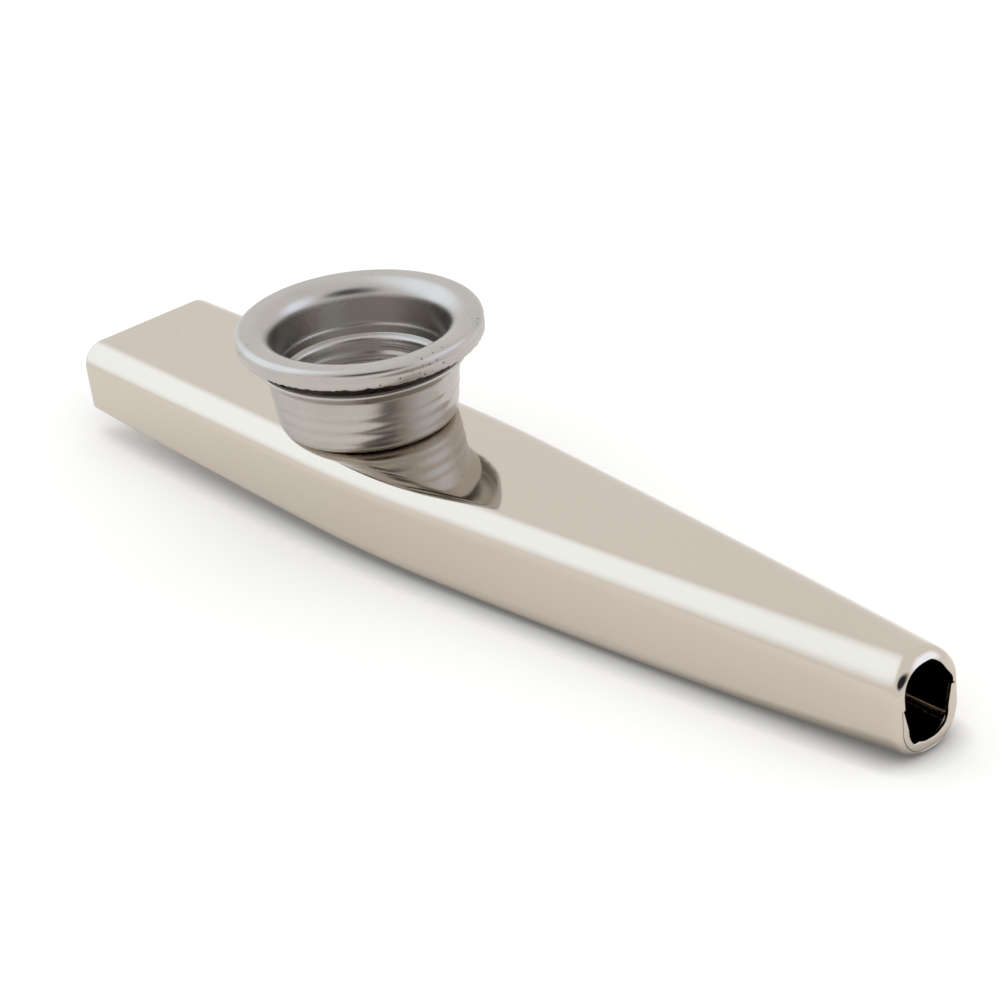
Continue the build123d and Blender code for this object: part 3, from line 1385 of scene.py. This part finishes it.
@dataclass(frozen=True)
class Panel:
    """Panel hung round the object, seen only in its metal, that fades out towards its edge."""

    name: str
    direction: Triple
    half_m: Pair
    colour: str
    light: float
    full_share: float
    distance_m: float = 0.8

    def material(self) -> bpy.types.Material:
        """Build the panel's surface, even in its middle and clear at its edge.

        Returns:
            The material.
        """
        material, tree = new_material(self.name + "_cloth")
        place = add_node(tree, "ShaderNodeTexCoord").outputs["Object"]
        scaled = add_node(tree, "ShaderNodeVectorMath", {"operation": "DIVIDE"}, {
            0: place, 1: (*self.half_m, 1.0)})
        reach = add_node(tree, "ShaderNodeVectorMath", {"operation": "LENGTH"}, {
            0: scaled.outputs["Vector"]})
        share = add_node(tree, "ShaderNodeMapRange", {"interpolation_type": "SMOOTHSTEP"}, {
            "Value": reach.outputs["Value"], "From Min": self.full_share, "From Max": 1.0,
            "To Min": 1.0, "To Max": 0.0})
        glow = add_node(tree, "ShaderNodeEmission", inputs={
            "Color": linear(self.colour), "Strength": self.light})
        clear = add_node(tree, "ShaderNodeBsdfTransparent")
        cloth = add_node(tree, "ShaderNodeMixShader", inputs={
            0: share.outputs["Result"], 1: clear.outputs[0], 2: glow.outputs[0]})
        add_node(tree, "ShaderNodeOutputMaterial", inputs={"Surface": cloth.outputs[0]})
        return material

    def hang(self) -> None:
        """Hang the panel so that it faces the object."""
        panel = make_rectangle(self.name, *self.half_m)
        ahead = Vector(self.direction).normalized()
        panel.location = ahead * self.distance_m
        panel.rotation_euler = ahead.to_track_quat("Z", "Y").to_euler()
        panel.visible_camera = False
        panel.visible_shadow = False
        panel.visible_diffuse = False
        panel.visible_transmission = False
        panel.data.materials.append(self.material())
        log.info("panel: %s", self.name)


@dataclass
class Studio:
    """White room with a pale floor, soft lights round the object and a dark side behind the camera."""

    floor_half_m: float = 3.0
    floor_colour: str = "#FAFAF9"
    floor_glow: float = 0.13
    # Reach of the painted contact shadow that darkens the floor's colour near the object
    painted_shadow_reach_mm: float = 3.0
    room_colour: str = "#FFFFFF"
    room_light: float = 1.0
    panels: tuple[Panel, ...] = (
        Panel("left_softbox", direction=(-0.68, -0.34, 0.60), half_m=(0.95, 0.95),
              colour="#E4F0FB", light=1.85, full_share=0.32),
        Panel("right_softbox", direction=(0.60, 0.62, 0.50), half_m=(0.50, 0.42),
              colour="#E0EBFF", light=1.9, full_share=0.30),
        Panel("dark_card", direction=(0.69, -0.43, 0.60), half_m=(0.62, 0.36),
              colour="#30333B", light=1.0, full_share=0.45),
    )

    def build_floor(self) -> None:
        """Build the floor, a wide sheet of white paper, with a painted contact shadow that darkens its
        colour where the object touches it.
        """
        floor = make_rectangle("floor", self.floor_half_m, self.floor_half_m)
        material, tree = new_material("floor_paper")
        # Painted contact shadow: ambient occlusion darkens the floor's colour near the object
        painted_contact_shadow = add_node(tree, "ShaderNodeAmbientOcclusion", inputs={
            "Color": linear(self.floor_colour), "Distance": self.painted_shadow_reach_mm * MM})
        paper = add_node(tree, "ShaderNodeBsdfDiffuse", inputs={"Color": painted_contact_shadow.outputs["Color"]})
        rays = add_node(tree, "ShaderNodeLightPath").outputs
        mirrored = add_node(tree, "ShaderNodeMath", {"operation": "MAXIMUM"}, {
            0: rays["Is Glossy Ray"], 1: rays["Is Transmission Ray"]})
        seen = add_node(tree, "ShaderNodeMath", {"operation": "MAXIMUM"}, {
            0: rays["Is Camera Ray"], 1: mirrored.outputs[0]})
        strength = add_node(tree, "ShaderNodeMath", {"operation": "MULTIPLY"}, {
            0: seen.outputs[0], 1: self.floor_glow})
        glow = add_node(tree, "ShaderNodeEmission", inputs={
            "Color": linear(self.floor_colour), "Strength": strength.outputs[0]})
        both = add_node(tree, "ShaderNodeAddShader", inputs={0: paper.outputs[0], 1: glow.outputs[0]})
        add_node(tree, "ShaderNodeOutputMaterial", inputs={"Surface": both.outputs[0]})
        floor.data.materials.append(material)

    def build_room(self) -> None:
        """Light the scene evenly from all round, white to the eye and in reflections."""
        world = bpy.data.worlds.new("white_room")
        world.use_nodes = True
        tree = world.node_tree
        tree.nodes.clear()
        walls = add_node(tree, "ShaderNodeBackground", inputs={
            "Color": linear(self.room_colour), "Strength": self.room_light})
        add_node(tree, "ShaderNodeOutputWorld", inputs={"Surface": walls.outputs[0]})
        bpy.context.scene.world = world

    def build(self) -> None:
        """Build the floor and the light, and set the plain view transform."""
        self.build_floor()
        self.build_room()
        for panel in self.panels:
            panel.hang()
        bpy.context.scene.view_settings.view_transform = "Standard"
        log.info("studio: floor, room and panels")


def main() -> None:
    """Build the kazoo's pieces in order, then the studio."""
    logging.basicConfig(level=logging.INFO, format="%(name)s: %(message)s")
    shell_low, shell_high = (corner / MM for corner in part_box("upper_shell"))
    ring_low, ring_high = (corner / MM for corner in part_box("screw_ring"))
    carrier_low, carrier_high = (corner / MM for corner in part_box("membrane_ring"))
    film_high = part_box("membrane_film")[1] / MM
    axis_x = (ring_low.x + ring_high.x) / 2
    rim_radius = (ring_high.x - ring_low.x) / 2
    carrier_radius = (carrier_high.x - carrier_low.x) / 2
    top = shell_high.z
    bore_radius = frame["record"]["mounts"][0]["dims"]["r_mm"]
    form = BodyForm(mouth_x=shell_low.x, length=shell_high.x - shell_low.x, top=top)
    KazooBody(form, axis_x, BrightNickelPlate()).build()
    Turret(
        axis_x, base=top, rim_radius=rim_radius, ring_top=ring_high.z - top, bore_radius=bore_radius,
        foot_height=ring_low.z - top, finish=SpunSatinNickel(axis_x),
    ).build()
    Membrane(
        axis_x, ring_foot=carrier_low.z, film_foot=carrier_high.z, film_top=film_high.z,
        radius=carrier_radius,
    ).build()
    PortraitCamera(Vector((0.0, 0.0, top * MM))).build()
    Studio().build()


if __name__ == "__main__":
    main()
